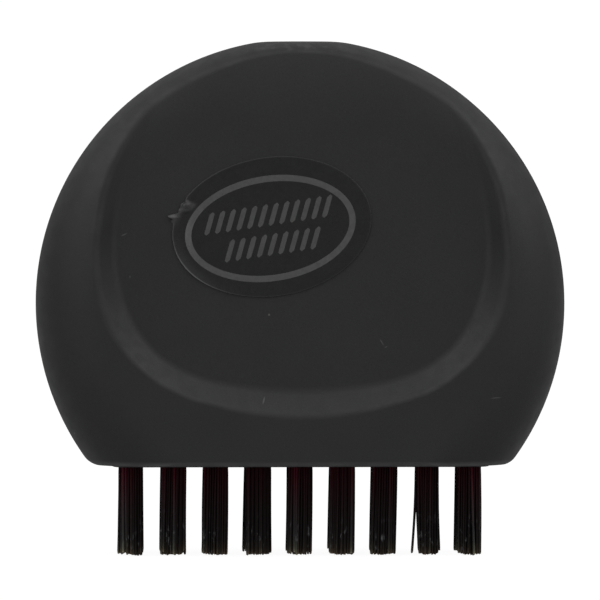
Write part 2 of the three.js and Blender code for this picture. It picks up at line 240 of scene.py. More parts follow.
# ------------------------------------------------------------------ handle shells: outer face
def floor_depth(z):
    """Distance of the leaning dish floor from the split plane."""
    return DISH_FLOOR - DISH_LEAN * (z - DISH_Z)


def turn_from_down(phi):
    return np.abs(np.arctan2(np.sin(phi), np.cos(phi)))


def dish_at(phi):
    """Radius of the dish floor, cosine of its outline's slant, and wall width."""
    r = sum(c * np.cos(k * phi) for k, c in enumerate(DISH_POLAR))
    slope = sum(-k * c * np.sin(k * phi) for k, c in enumerate(DISH_POLAR))
    turn = turn_from_down(phi)
    toe = TOE_EXTRA * (1 - smoothstep(turn, *TOE_TURN))
    wall = WALL + toe + FADE_EXTRA * smoothstep(turn, *FADE_TURN)
    return r, r / np.hypot(r, slope), wall


def outline_distance(x, z):
    """Signed distance to the shells' outline, negative inside."""
    round_side = np.hypot(x, z - OUTLINE_Z) - OUTLINE_R
    return rounded_max(rounded_max(round_side, FOOT - z, SIDE_CORNER_R), z - CROWN, CROWN_CORNER_R)


def outline_radius(phi):
    """Distance of the outline from the dish centre, by bisection."""
    near, far = np.full_like(phi, 5.0), np.full_like(phi, 40.0)
    for _ in range(50):
        middle = (near + far) / 2
        inside = outline_distance(middle * np.sin(phi), DISH_Z - middle * np.cos(phi)) < 0
        near, far = np.where(inside, middle, near), np.where(inside, far, middle)
    return (near + far) / 2


def body_depth(inside, z):
    """Depth of the face without its dish, from the distance inside the round outline."""
    u = np.clip(1 - inside / EDGE_R, 0, 1)
    belly = RIM + EDGE_R * np.sqrt(np.maximum(1 - u * u, 0))
    above_foot = np.clip(z - FOOT, 0, FOOT_R)
    roll = np.sqrt(np.maximum(FOOT_R**2 - (FOOT_R - above_foot) ** 2, 0))
    return np.minimum(belly, HALF_THICK - FOOT_R + roll)


def rolled_floor(inside, x, z):
    """Depth of the dish floor, which drops away near the outline towards the crown."""
    reach = ROLL_FROM[0] + (ROLL_FROM[1] - ROLL_FROM[0]) * smoothstep(np.abs(x), 2, 10)
    drop = ROLL / (reach - 1.1) ** 1.5 * np.clip(reach - inside, 0, 9) ** 2.5
    return floor_depth(z) - drop * smoothstep(z, 37, 43)


def face_depth(r, phi, dish):
    """Distance of the outer face from the split plane."""
    floor_r, cos_slant, wall = dish
    x, z = r * np.sin(phi), DISH_Z - r * np.cos(phi)
    inside = OUTLINE_R - np.hypot(x, z - OUTLINE_Z)
    turn = turn_from_down(phi)
    side, top = smoothstep(turn, *SIDE_TURN), smoothstep(turn, *TOP_TURN)
    # the wall climbs from the floor, a little hollow at the toe
    past = (r - floor_r) * cos_slant
    hollow = 0.2 * (1 - side)
    slope = (HALF_THICK - floor_depth(z)) / wall
    rise = slope * past * (1 - hollow + hollow * np.clip(past / wall, 0, 1.5))
    floor = rolled_floor(inside, x, z)
    floor_blend = 0.20 + 0.15 * side
    lip_blend = 0.22 + 0.33 * side - 0.08 * top
    return soft_min(body_depth(inside, z), soft_max(floor, floor + rise, floor_blend), lip_blend)


def face_at(x, z):
    phi = np.arctan2(x, DISH_Z - z)
    return face_depth(np.hypot(x, z - DISH_Z), phi, dish_at(phi))


def dress_face(mesh, sign):
    """Gives the outer face the normals of its formula, and marks its convex edges, which the
    material paints paler: a painted edge highlight, partly rubbed plastic.
    """
    count = len(mesh.vertices)
    co = np.empty(count * 3)
    mesh.vertices.foreach_get("co", co)
    co = co.reshape(-1, 3) / MM
    x, y, z = co[:, 0], co[:, 1] * sign, co[:, 2]
    face = face_at(x, z)
    on_face = (outline_distance(x, z) < -0.03) & (np.abs(y - face) < 0.004) & (y > 1.5)
    step, steepest = 0.004, 4
    slope_x = (face_at(x + step, z) - face_at(x - step, z)) / (2 * step)
    slope_z = (face_at(x, z + step) - face_at(x, z - step)) / (2 * step)
    on_face &= np.hypot(slope_x, slope_z) < steepest
    exact = np.stack([-slope_x, np.full(count, 1.0) * sign, -slope_z], 1)
    exact /= np.linalg.norm(exact, axis=1)[:, None]

    corners = np.empty(len(mesh.loops), dtype=np.int32)
    mesh.loops.foreach_get("vertex_index", corners)
    normals = np.array([corner.vector[:] for corner in mesh.corner_normals])
    replaced = on_face[corners]
    normals[replaced] = exact[corners[replaced]]

    # how far each point stands above its neighbours at this spacing
    reach = 0.30
    bulge = (4 * face - face_at(x + reach, z) - face_at(x - reach, z)
             - face_at(x, z + reach) - face_at(x, z - reach)) / reach
    # convex edges, which the material paints paler as an edge highlight
    store(mesh, "edge_wear_and_highlight", np.where(on_face, smoothstep(bulge, 0.06, 0.5), 0))
    mesh.normals_split_custom_set([tuple(v) for v in normals])


# ------------------------------------------------------------------ handle shells: solids
SHELL_POINTS = 760                    # round each ring
SPLIT_EDGE = [(0.0, 0.085), (0.012, 0.04), (0.07, 0.0)]     # inset, distance from the split plane
HOLLOW_R, HOLLOW_FOOT = 22.8, 17.2
HOLLOW_Y = (-1.0, 4.4)                # from across the split plane to inside the face
SEAT_TOP = 15.7
PINS = [(-15.2, 21.4), (15.2, 21.4), (-12.6, 37.6), (12.6, 37.6)]      # x, z
PIN_PROFILE = [(1.15, -2.4), (1.3, -2.33), (1.4, -2.1), (1.4, 0.6)]    # radius, y


def ring_radii(phi, dish, outline):
    """Radii of the face's rings, closer together where the wall starts and ends."""
    floor_r, cos_slant, wall = dish
    lip_r = floor_r + wall / cos_slant
    wall_in = np.minimum(floor_r - 0.9, outline - 5.2)
    wall_out = np.minimum(floor_r + 0.7, outline - 3.6)
    lip_in = np.minimum(np.maximum(lip_r - 0.6, wall_out + 0.08), outline - 2.6)
    lip_out = np.minimum(np.maximum(lip_r + 0.9, lip_in + 0.3), outline - 1.7)
    last = outline - 1.15
    spans = [                         # from, to, steps
        (0 * outline, wall_in, 12),
        (wall_in, wall_out, 12),
        (wall_out, lip_in, 7),
        (lip_in, lip_out, 12),
        (lip_out, last, 12),
    ]
    radii = [a + (b - a) * i / steps for a, b, steps in spans for i in range(steps)]
    edge = [last + (outline - last) * np.sin(i / 18 * np.pi / 2) for i in range(19)]
    return radii[1:] + edge


def shell_skin(name, sign):
    """Shell without its hollow: outer face, rim and split plane."""
    phi = np.arange(SHELL_POINTS) / SHELL_POINTS * 2 * np.pi
    dish, outline = dish_at(phi), outline_radius(phi)

    def ring(r, depth):
        return np.stack([r * np.sin(phi), sign * depth + 0 * r, DISH_Z - r * np.cos(phi)], 1)

    rings = []
    for r in ring_radii(phi, dish, outline):
        depth = face_depth(r, phi, dish)
        rings.append(ring(r, depth))
    for t in (0.25, 0.5, 0.75):
        rings.append(ring(outline, depth * (1 - t) + SPLIT_EDGE[0][1] * t))
    for inset, y in SPLIT_EDGE:
        rings.append(ring(outline - inset, y))
    # the fans' centres sit on the dish floor and on the split plane
    centres = [(0, sign * floor_depth(DISH_Z), DISH_Z), (0, 0, DISH_Z)]
    return solid(name, [points.tolist() for points in rings], centres)


def shell_hollow(node, sign):
    """The hollow of the CAD shell: a core, less the CAD shell itself."""
    start, steps = math.asin((HOLLOW_FOOT - OUTLINE_Z) / HOLLOW_R), 160
    angles = [start + (math.pi - 2 * start) * i / steps for i in range(steps + 1)]
    arc = [(HOLLOW_R * math.cos(a), OUTLINE_Z + HOLLOW_R * math.sin(a)) for a in angles]
    core = solid("core", [[(x, sign * y, z) for x, z in arc] for y in HOLLOW_Y])
    cad_shell = link_object("copy", frame["nodes"][node].data.copy())
    tidy(cad_shell, weld=2e-7)
    cut(core, cad_shell)
    tidy(core, weld=1e-7)
    return core


def shell(node, sign):
    """Handle shell on the -y (sign -1) or +y (sign 1) side."""
    ob = shell_skin(f"{node}_skin", sign)
    cut(ob, shell_hollow(node, sign))
    neck = [(0, FOOT - 1), (0, FLANGE_FOOT + FLANGE_CHAMFER)]
    cut(ob, solid("neck", pad(NECK_X + GAP, BLOCK_Y + GAP, BLOCK_CORNER_R, neck)))
    seat = [(0, FLANGE_FOOT - GAP), (0, SEAT_TOP)]
    cut(ob, solid("seat", pad(FLANGE_X + GAP, BLOCK_Y + GAP, BLOCK_CORNER_R, seat)))
    if sign > 0:
        for x, z in PINS:
            rings = [[(x + dx, y, z + dz) for dx, dz in circle(r, 32)] for r, y in PIN_PROFILE]
            cut(ob, solid("pin", rings), "UNION")
    tidy(ob, sharp=32)
    dress_face(ob.data, sign)
    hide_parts(node)
    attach(ob, "handle")
    return ob


# ------------------------------------------------------------------ brush block
MOUTH_R = 0.28                        # rounding of the block's lower edge
BLOCK_TOP_CHAMFER = 0.2
HOLE_PROFILE = [                      # radius, z; flared at the mouth
    (1.62, MOUTH - 0.5), (1.56, MOUTH - 0.001), (1.47, MOUTH + 0.05), (1.42, MOUTH + 0.14),
    (1.4, MOUTH + 0.3), (1.4, 14.3), (0.3, 14.75),
]


def block():
    levels = [(MOUTH_R * (1 - math.sin(a)), MOUTH + MOUTH_R * (1 - math.cos(a)))
              for a in np.linspace(0, math.pi / 2, 7)]
    levels += [(0, FLANGE_FOOT), (0, FLANGE_TOP - BLOCK_TOP_CHAMFER),
               (BLOCK_TOP_CHAMFER, FLANGE_TOP)]
    ob = solid("brush_block_skin", pad(NECK_X, BLOCK_Y, BLOCK_CORNER_R, levels, 16))
    levels = [(FLANGE_CHAMFER, FLANGE_FOOT), (0, FLANGE_FOOT + FLANGE_CHAMFER),
              (0, FLANGE_TOP - FLANGE_CHAMFER), (FLANGE_CHAMFER, FLANGE_TOP)]
    cut(ob, solid("flange", pad(FLANGE_X, BLOCK_Y, BLOCK_CORNER_R, levels, 12)), "UNION")
    for row in ROWS:
        for tuft in TUFTS:
            x, y = column_x(tuft), row_y(row)
            rings = [[(x + dx, y + dy, z) for dx, dy in circle(r, 56)] for r, z in HOLE_PROFILE]
            cut(ob, solid("drill", rings))
    tidy(ob, sharp=30)
    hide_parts("brush_block")
    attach(ob, "handle")
    return ob


# ------------------------------------------------------------------ bristles
STRAND_R, STRAND_SIDES = 0.122, 7
STRAND_PITCH, TUFT_R = 0.262, 1.255
STRAND_TOP, STRAND_END = MOUTH + 0.95, -0.03
# rings along a strand, as a share of its length from the top
STATIONS = [0.0, 0.07, 0.16, 0.28, 0.42, 0.56, 0.70, 0.82, 0.92, 0.975, 1.0]
PALE_STRANDS = {1: (-0.62, 0.16), 5: (-0.48, 0.10), 9: (0.10, 0.34)}   # tuft: x in the tuft, lean
SPLAYED_TUFT, SPLAYED_LEAN = 8, {"front": -0.6, "back": 0.6}           # degrees


def strand_roots(rng):
    """Places in a tuft, on a shifted and turned triangular grid."""
    shift_x, shift_y = rng.uniform(-0.5, 0.5, 2) * STRAND_PITCH
    turn = rng.uniform(0, math.pi / 3)
    places = []
    for a in range(-8, 9):
        for b in range(-8, 9):
            x = (a + 0.5 * b) * STRAND_PITCH + shift_x
            y = b * STRAND_PITCH * 0.866 + shift_y
            x, y = (x * math.cos(turn) - y * math.sin(turn),
                    x * math.sin(turn) + y * math.cos(turn))
            if math.hypot(x, y) < TUFT_R - STRAND_R:
                places.append((x, y))
    return places


def strand_tip(rng, row, tuft, x, y):
    """Sideways travel of a strand's tip and its bow, for a root at x, y in the tuft."""
    r = math.hypot(x, y)
    flare = smoothstep(r, 0.75, 1.15) * rng.uniform(0.0, 0.07)
    tip_x = rng.normal(0, 0.028) + x / max(r, 0.1) * flare + x * 0.015
    tip_y = rng.normal(0, 0.028) + y / max(r, 0.1) * flare + y * 0.015
    bow = rng.normal(0, 0.020, 2)
    # the outermost strands of the front row's end tufts spread a little
    if row == "front" and tuft == 1 and x < -0.55:
        tip_x -= 0.07
        tip_y -= 0.05
    if row == "front" and tuft == 9 and x > 0.55:
        tip_x += 0.05
    if tuft == SPLAYED_TUFT:
        # a few strands at the left stand apart from the rest of the tuft
        if row == "front" and x < -0.90:
            tip_x -= 0.25
        else:
            tip_x += 0.26 * smoothstep(-x, 0.0, 0.95)
    if rng.random() < 0.03:           # the odd stray strand
        tip_x += rng.normal(0, 0.10)
        tip_y += rng.normal(0, 0.10)
    return tip_x, tip_y, bow


def strand_end(rng, row, tuft, x, y, slope):
    """Height of a strand's end; slope tilts the whole tuft's trim."""
    end = STRAND_END + slope * x + abs(rng.normal(0, 0.10))
    if rng.random() < 0.06:           # the odd short strand
        end += rng.uniform(0.1, 0.35)
    if row == "front" and tuft == 9 and abs(x - 0.35) < 0.2 and y < 0.2:
        end -= 0.16
    return float(np.clip(end, -0.10, 0.75))


def pale_lean(row, tuft, x, y):
    """Lean of a pale strand at the front of the tuft, or None for the others."""
    if row != "front" or tuft not in PALE_STRANDS:
        return None
    across, lean = PALE_STRANDS[tuft]
    at_front = y < 0.24 - math.sqrt(1.28 - min(x * x, 1.28))
    return lean if at_front and abs(x - across) < 0.17 else None


def add_tube(verts, faces, base, sides, rings):
    """Faces of a tube whose rings start at vertex base, and the centres that close its ends."""
    last = base + (rings - 1) * sides
    for first in (base, last):
        verts.append(tuple(np.mean(verts[first:first + sides], axis=0)))
    top_centre, end_centre = len(verts) - 2, len(verts) - 1
    for a in range(base, last, sides):
        b = a + sides
        for m in range(sides):
            n = (m + 1) % sides
            faces.append((a + m, b + m, b + n, a + n))
    for m in range(sides):
        n = (m + 1) % sides
        faces.append((base + m, base + n, top_centre))
        faces.append((last + n, last + m, end_centre))


def bristle(row, tuft):
    rng = np.random.default_rng(7000 + 100 * ROWS.index(row) + tuft)
    centre_x, centre_y = column_x(tuft), row_y(row)
    roots = strand_roots(rng)
    lean_x = math.tan(math.radians(rng.normal(-0.75, 0.42)))
    lean_y = math.tan(math.radians(rng.normal(0.0, 0.5)))
    if tuft == SPLAYED_TUFT:
        lean_x = math.tan(math.radians(SPLAYED_LEAN[row]))
    slope = rng.normal(0, 0.04)
    verts, faces, looks = [], [], []  # looks: share of the length, tone, 0
    for root_x, root_y in roots:
        tip_x, tip_y, bow = strand_tip(rng, row, tuft, root_x, root_y)
        end = strand_end(rng, row, tuft, root_x, root_y, slope)
        length = STRAND_TOP - end
        tone_and_light = rng.random()
        # painted light: the strands at the left side of each tuft are made paler, as if lit from
        # the left
        if root_x < -0.8:
            tone_and_light = 0.90 + 0.08 * tone_and_light
        lean = pale_lean(row, tuft, root_x, root_y)
        if lean is not None:
            tone_and_light = 1.0
            tip_x += lean
            tip_y -= 0.06
        radius = STRAND_R * rng.uniform(0.93, 1.04)
        phase = rng.uniform(0, math.pi)
        tilt_x, tilt_y = rng.uniform(-0.06, 0.06, 2)
        base = len(verts)
        for k, share in enumerate(STATIONS):
            z = STRAND_TOP - length * share
            drop = max(MOUTH - z, 0)
            below = drop / MOUTH
            travel = below ** 1.25
            arch = math.sin(math.pi * below)
            squeeze = 0.965 + 0.035 * smoothstep(MOUTH + 0.6 - z, 0.0, 1.2)
            x = centre_x + root_x * squeeze + tip_x * travel + bow[0] * arch + lean_x * drop
            y = centre_y + root_y * squeeze + tip_y * travel + bow[1] * arch + lean_y * drop
            r = radius if k < len(STATIONS) - 1 else radius * 0.78
            for m in range(STRAND_SIDES):
                a = phase + 2 * math.pi * m / STRAND_SIDES
                dx, dy = r * math.cos(a), r * math.sin(a)
                # the last two rings are tilted, so the strand is trimmed at a slant
                trim = (dx * tilt_x + dy * tilt_y) * 6 if k >= len(STATIONS) - 2 else 0
                verts.append((x + dx, y + dy, z + trim))
                looks.append((share, tone_and_light, 0))
        add_tube(verts, faces, base, STRAND_SIDES, len(STATIONS))
        looks += [(0.0, tone_and_light, 0), (1.02, tone_and_light, 0)]
    mesh = bpy.data.meshes.new(f"{row}_bristles_{tuft}")
    mesh.from_pydata([tuple(v) for v in np.array(verts) * MM], [], faces)
    mesh.polygons.foreach_set("use_smooth", [True] * len(mesh.polygons))
    mesh.set_sharp_from_angle(angle=math.radians(60))
    attribute = mesh.attributes.new("strand", "FLOAT_VECTOR", "POINT")
    attribute.data.foreach_set("vector", np.array(looks, dtype=np.float32).ravel())
    ob = link_object(mesh.name, mesh)
    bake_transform(ob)
    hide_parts(f"{row}_tuft_{tuft}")
    return ob


# ------------------------------------------------------------------ label: placing
# u runs along the label and v up it; bearings are in degrees anticlockwise from +u, seen from
# the front, and a share of 1 is the film's outline
LABEL_X, LABEL_Z = -2.80, 31.1
LABEL_U, LABEL_V = 9.43, 6.54         # half length and half height
LABEL_TILT = math.radians(8.5)
TILT_COS, TILT_SIN = math.cos(LABEL_TILT), math.sin(LABEL_TILT)
FILM_THICK, FILM_GAP = 0.11, 0.012    # film, and the layer between it and the dish floor


def label_place(u, v, height):
    """Point at u, v and a height above the dish floor of the front shell."""
    z = LABEL_Z + u * TILT_SIN + v * TILT_COS
    return (LABEL_X + u * TILT_COS - v * TILT_SIN, -(floor_depth(z) + height), z)


def label_coordinates(co):
    """u and v of placed points."""
    dx, dz = co[:, 0] - LABEL_X, co[:, 2] - LABEL_Z
    return dx * TILT_COS + dz * TILT_SIN, -dx * TILT_SIN + dz * TILT_COS


def film_lift(u, v):
    """Stand-off: a slight wave, a lifted lower left edge and a creased, torn upper left corner."""
    share = math.hypot(u / LABEL_U, v / LABEL_V)
    bearing = math.degrees(math.atan2(v / LABEL_V, u / LABEL_U)) % 360

    def fold(height, centre, width, rise, falls=0.0, fall=(0, 1)):
        """Climbs over the rise shares, then loses a part of its height over the fall shares."""
        up = height * around(bearing, centre, width) * smoothstep(share, *rise)
        return up * (1.0 - falls * smoothstep(share, *fall))

    wave = 0.006 * math.sin(1.9 * u + 0.7) * math.sin(1.4 * v + 0.3)
    wave += 0.004 * math.sin(3.7 * v - 1.1 * u)
    lower_left = fold(height=0.08, centre=215, width=26, rise=(0.80, 1.0))
    crease = fold(height=0.42, centre=149.5, width=3.4, rise=(0.86, 0.965),
                  falls=0.85, fall=(0.97, 1.005))
    crease += fold(height=0.10, centre=154.0, width=1.2, rise=(0.88, 0.94),
                   falls=0.8, fall=(0.96, 1.0))
    crease += fold(height=0.34, centre=160.6, width=2.0, rise=(0.97, 1.045))
    return max(wave, -0.004) + 0.006 + lower_left + crease


# ------------------------------------------------------------------ label: film
# stretch of the outline, bearing, width: a torn tongue with a notch beside it
TEARS = [(0.078, 159.4, 1.8), (0.034, 163.4, 1.4), (-0.022, 155.6, 1.5), (-0.014, 146.0, 1.6)]
ROUND_EDGE = [(0.85, 0.022), (0.5, 0.034), (0.15, 0.022)]    # share of the thickness, outward step


def film_reach(bearing, t):
    """Factor by which the torn outline is stretched, at share t of the way out."""
    out = sum(stretch * around(bearing, centre, width) for stretch, centre, width in TEARS)
    out += 0.008 * math.sin(math.radians(bearing) * 61) * around(bearing, 157, 9)
    return 1 + out * smoothstep(t, 0.90, 1.0)


def film_edge(upper, lower, share, outward):
    """Ring between the film's two faces, stepped outward."""
    ring = []
    for p, q in zip(upper, lower):
        point = np.array(p) * share + np.array(q) * (1 - share)
        away = np.array([point[0] - LABEL_X, 0, point[2] - LABEL_Z])
        ring.append(tuple(point + away / np.linalg.norm(away) * outward))
    return ring


def film_painted_highlight(co):
    """Painted highlight on the clear film: along its cut edge, most of all at the lower left, and
    glints on its torn corner.
    """
    u, v = label_coordinates(co)
    u, v = u / LABEL_U, v / LABEL_V
    share, bearing = np.hypot(u, v), np.degrees(np.arctan2(v, u)) % 360
    rim = smoothstep(share, 0.985, 0.996)
    low = around(bearing, 208, 22)
    soft = around(bearing, 205, 26) * smoothstep(share, 0.88, 0.98)
    torn = around(bearing, 155, 9) * smoothstep(share, 0.93, 0.99)
    # a small, mottled wedge of painted highlight in the creased corner beside the tear
    cloudy = around(bearing - 45 * (share - 0.93), 151.5, 3.2, power=4)
    cloudy = cloudy * smoothstep(share, 0.845, 0.88) * smoothstep(1.0 - share, 0.0, 0.03)
    cloudy = cloudy * (0.45 + 0.55 * np.sin(bearing * 2.3 + share * 60) ** 2)
    side = 0.5 + 0.5 * np.cos(np.radians(bearing - 150))
    edge = rim * (0.08 + 0.14 * side + 0.70 * low)
    return np.clip(edge + 0.13 * soft + 0.30 * torn + 0.42 * cloudy, 0, 1)


def film():
    points, steps = 720, 30
    upper, lower = [], []
    for k in range(1, steps + 1):
        t = 1 - (1 - k / steps) ** 1.6
        upper_ring, lower_ring = [], []
        for i in range(points):
            a = 2 * math.pi * i / points
            reach = film_reach(math.degrees(a), t)
            u = LABEL_U * t * math.cos(a) * reach
            v = LABEL_V * t * math.sin(a) * reach
            lift = film_lift(u, v)
            upper_ring.append(label_place(u, v, FILM_GAP + lift + FILM_THICK))
            lower_ring.append(label_place(u, v, FILM_GAP + lift))
        upper.append(upper_ring)
        lower.append(lower_ring)
    edge = [film_edge(upper[-1], lower[-1], *step) for step in ROUND_EDGE]
    middle = FILM_GAP + film_lift(0, 0)
    centres = [label_place(0, 0, middle + FILM_THICK), label_place(0, 0, middle)]
    ob = solid("label_skin", upper + edge + lower[::-1], centres, sharp=50)
    store(ob.data, "painted_highlight", film_painted_highlight(coordinates(ob.data)))
    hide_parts("label_film")
    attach(ob, "handle")
    return ob


# ------------------------------------------------------------------ label: print
PRINT_U, PRINT_V = -0.17, -0.14       # centre of the print
RING_U, RING_V, RING_WIDE = 8.1, 4.97, 0.6    # outer half length, half height, line width
RING_TONE_U, RING_TONE_V = 7.4, 4.3   # ink beyond this oval belongs to the ring
STROKE_WIDE, STROKE_SLANT = 0.50, math.tan(math.radians(24))
STROKE_TALL, STROKE_PITCH = 2.05, 1.02
STROKE_BANDS = [(1.28, 12), (-1.52, 9)]       # v of the band's middle, strokes
INK_TOP, INK_FOOT = 0.016, 0.002      # above the film


def add_strip(verts, faces, rows, closed):
    """Thin solid strip on the film; each row holds the u, v points across one station."""
    base, wide, count = len(verts), len(rows[0]), len(rows)
    for row in rows:
        for height in (INK_TOP, INK_FOOT):
            for u, v in row:
                lift = FILM_GAP + FILM_THICK + film_lift(u, v)
                verts.append(label_place(u, v, lift + height))
    for k in range(count if closed else count - 1):
        a, b = base + k * 2 * wide, base + ((k + 1) % count) * 2 * wide
        for i in range(wide - 1):
            faces.append((a + i, a + i + 1, b + i + 1, b + i))
            faces.append((a + wide + i, b + wide + i, b + wide + i + 1, a + wide + i + 1))
        faces.append((a, b, b + wide, a + wide))
        faces.append((a + wide - 1, a + 2 * wide - 1, b + 2 * wide - 1, b + wide - 1))
    if not closed:
        for a in (base, base + (count - 1) * 2 * wide):
            for i in range(wide - 1):
                faces.append((a + i, a + wide + i, a + wide + i + 1, a + i + 1))


def ring_rows():
    rows = []
    for i in range(240):
        a = 2 * math.pi * i / 240
        insets = [RING_WIDE * j / 4 for j in range(5)]
        rows.append([(PRINT_U + (RING_U - inset) * math.cos(a),
                      PRINT_V + (RING_V - inset) * math.sin(a)) for inset in insets])
    return rows


def stroke_rows(middle_u, middle_v):
    """Slanted stroke with rounded ends."""
    rows = []
    half = STROKE_WIDE / 2
    for i in range(13):
        up = (i / 12 - 0.5) * STROKE_TALL
        past = (abs(up) - (STROKE_TALL / 2 - half)) / half
        reach = half * (math.sqrt(max(1 - past * past, 0.03)) if past > 0 else 1)
        rows.append([(PRINT_U + middle_u + up * STROKE_SLANT + reach * (j / 2 - 1),
                      PRINT_V + middle_v + up) for j in range(5)])
    return rows


def ink():
    """Printed oval ring round two bands of slanted strokes, as a thin raised layer."""
    verts, faces = [], []
    add_strip(verts, faces, ring_rows(), closed=True)
    for middle_v, count in STROKE_BANDS:
        for n in range(count):
            middle_u = (n - (count - 1) / 2) * STROKE_PITCH
            add_strip(verts, faces, stroke_rows(middle_u, middle_v), closed=False)
    ob = mesh_object("label_print", verts, faces, sharp=40)
    co = coordinates(ob.data)
    u, v = label_coordinates(co)
    in_ring = np.hypot((u - PRINT_U) / RING_TONE_U, (v - PRINT_V) / RING_TONE_V) > 1
    # painted highlight: the ring is palest at its left end, where it catches the light
    left = np.exp(-(((co[:, 0] + 11.0) / 0.9) ** 2) - ((co[:, 2] - 30.4) / 1.7) ** 2)
    store(ob.data, "tone_and_light", np.where(in_ring, 0.5 + 0.5 * left, 0.0))
    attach(ob, "handle")
    return ob


# ------------------------------------------------------------------ node helpers
def grey(level, tint=(1, 1, 1)):
    return tuple(level * t for t in tint)


class Nodes:
    """A node tree and short calls that fill it; an input takes a value or another's output."""

    def __init__(self, tree):
        self.tree = tree

    def feed(self, socket, value):
        if isinstance(value, bpy.types.NodeSocket):
            self.tree.links.new(value, socket)
        else:
            socket.default_value = value

    def node(self, kind, inputs=None, **settings):
        new = self.tree.nodes.new("ShaderNode" + kind)
        for name, value in settings.items():
            setattr(new, name, value)
        for key, value in (inputs or {}).items():
            self.feed(new.inputs[key], value)
        return new

    def math(self, operation, *values):
        return self.node("Math", dict(enumerate(values)), operation=operation).outputs[0]

    def toward(self, colour, factor, other):
        """Mixes a colour towards another, plain one."""
        inputs = {"Factor": factor, "A": colour, "B": (*other, 1)}
        return self.node("Mix", inputs, data_type="RGBA").outputs["Result"]

    def times(self, a, b):
        inputs = {"Factor": 1.0, "A": a, "B": b}
        mix = self.node("Mix", inputs, data_type="RGBA", blend_type="MULTIPLY")
        return mix.outputs["Result"]

    def ramp(self, source, *stops):
        """Colour ramp through (position, colour or grey level) stops."""
        stops = [(at, c if isinstance(c, tuple) else grey(c)) for at, c in stops]
        ramp = self.node("ValToRGB", {"Fac": source})
        elements = ramp.color_ramp.elements
        elements[0].position, elements[0].color = stops[0][0], (*stops[0][1], 1)
        elements[1].position, elements[1].color = stops[-1][0], (*stops[-1][1], 1)
        for position, colour in stops[1:-1]:
            elements.new(position).color = (*colour, 1)
        return ramp.outputs["Color"]

    def map_range(self, value, start, end, at_start, at_end):
        inputs = {"Value": value, "From Min": start, "From Max": end,
                  "To Min": at_start, "To Max": at_end}
        return self.node("MapRange", inputs).outputs["Result"]


class Material(Nodes):
    """Principled material whose textures follow the object's own coordinates."""

    def __init__(self, name, noise_roughness=0.5):
        self.material = bpy.data.materials.new(name)
        self.material.use_nodes = True
        super().__init__(self.material.node_tree)
        self.noise_roughness = noise_roughness
        self.place = self.node("TexCoord").outputs["Object"]

    def stretch(self, scale):
        """Scales the coordinates of the textures made after it."""
        mapping = self.node("Mapping", {"Scale": scale, "Vector": self.place})
        self.place = mapping.outputs["Vector"]

    def noise(self, scale, detail, roughness=None):
        inputs = {"Vector": self.place, "Scale": scale, "Detail": detail,
                  "Roughness": roughness or self.noise_roughness}
        return self.node("TexNoise", inputs).outputs["Fac"]

    def voronoi(self, scale, **settings):
        inputs = {"Vector": self.place, "Scale": scale, "Randomness": 1.0}
        return self.node("TexVoronoi", inputs, **settings).outputs

    def attribute(self, name, output="Fac"):
        return self.node("Attribute", attribute_name=name).outputs[output]

    def xyz(self, vector):
        return self.node("SeparateXYZ", {0: vector}).outputs

    def spread(self, source, low, high):
        """Ramp over the middle of a noise, where its values lie."""
        return self.ramp(source, (0.3, low), (0.7, high))

    def bump(self, height, strength, distance, under=None):
        """Bump with its distance in metres, over another bump if there is one."""
        inputs = {"Height": height, "Strength": strength, "Distance": distance}
        if under:
            inputs["Normal"] = under
        return self.node("Bump", inputs).outputs["Normal"]

    def surface(self, colour, roughness, normal, **others):
        bsdf = self.tree.nodes["Principled BSDF"]
        inputs = {"Base Color": colour, "Roughness": roughness, "Normal": normal}
        inputs.update({key.replace("_", " "): value for key, value in others.items()})
        for name, value in inputs.items():
            self.feed(bsdf.inputs[name], value)
        return self.material


# ------------------------------------------------------------------ moulded plastic
PLASTIC_TINT = (1.0, 1.0, 1.02)
# pale grey of the crown's scuffs and of the painted glints and foot highlight
SCUFF_AND_HIGHLIGHT_GREY, SCRATCH_GREY = 0.062, 0.085
SCRATCH_Y, SCRATCH_REACH_Y = -6.4, 10         # keeps the scratches to the front
SCRATCHES = [                         # x, z, turn in degrees, half length, half width
    (-16.74, 30.36, 24, 0.34, 0.07), (-16.18, 26.4, 80, 0.13, 0.06),
    (7.55, 20.2, -58, 0.42, 0.06), (7.95, 19.75, 30, 0.16, 0.06),
    (18.27, 15.0, 4, 0.60, 0.06), (-3.6, 14.75, 75, 0.40, 0.10),
]


def plastic_colour(m, level):
    """Faintly clouded grey, paler along convex edges: a painted edge highlight in patches, partly
    rubbed plastic.
    """
    cloud = m.noise(scale=160.0, detail=3.0)
    fine = m.noise(scale=5200.0, detail=2.0)
    colour = m.times(
        m.spread(cloud, grey(level * 0.93, PLASTIC_TINT), grey(level * 1.07, PLASTIC_TINT)),
        m.spread(fine, 0.86, 1.14))
    # painted highlight along the convex edges and the dish lip, broken into patches, partly rubbed
    # plastic
    worn_and_highlit = m.ramp(m.attribute("edge_wear_and_highlight"), (0.1, 0), (0.9, 1))
    patches = m.ramp(m.noise(scale=420.0, detail=2.0), (0.42, 0.1), (0.68, 1))
    patchy_highlight = m.math("MULTIPLY", m.math("MULTIPLY", worn_and_highlit, patches), 0.35)
    return m.toward(colour, patchy_highlight, grey(level * 2.2, PLASTIC_TINT))


def add_dust(m, colour):
    """Rare pale specks: the cores of a few voronoi cells."""
    cells = m.voronoi(scale=330.0)
    core = m.ramp(cells["Distance"], (0.022, 1), (0.040, 0))
    cell_red = m.node("SeparateColor", {"Color": cells["Color"]}).outputs["Red"]
    kept = m.math("GREATER_THAN", cell_red, 0.93)
    return m.toward(colour, m.math("MULTIPLY", core, kept), (0.10, 0.095, 0.09))


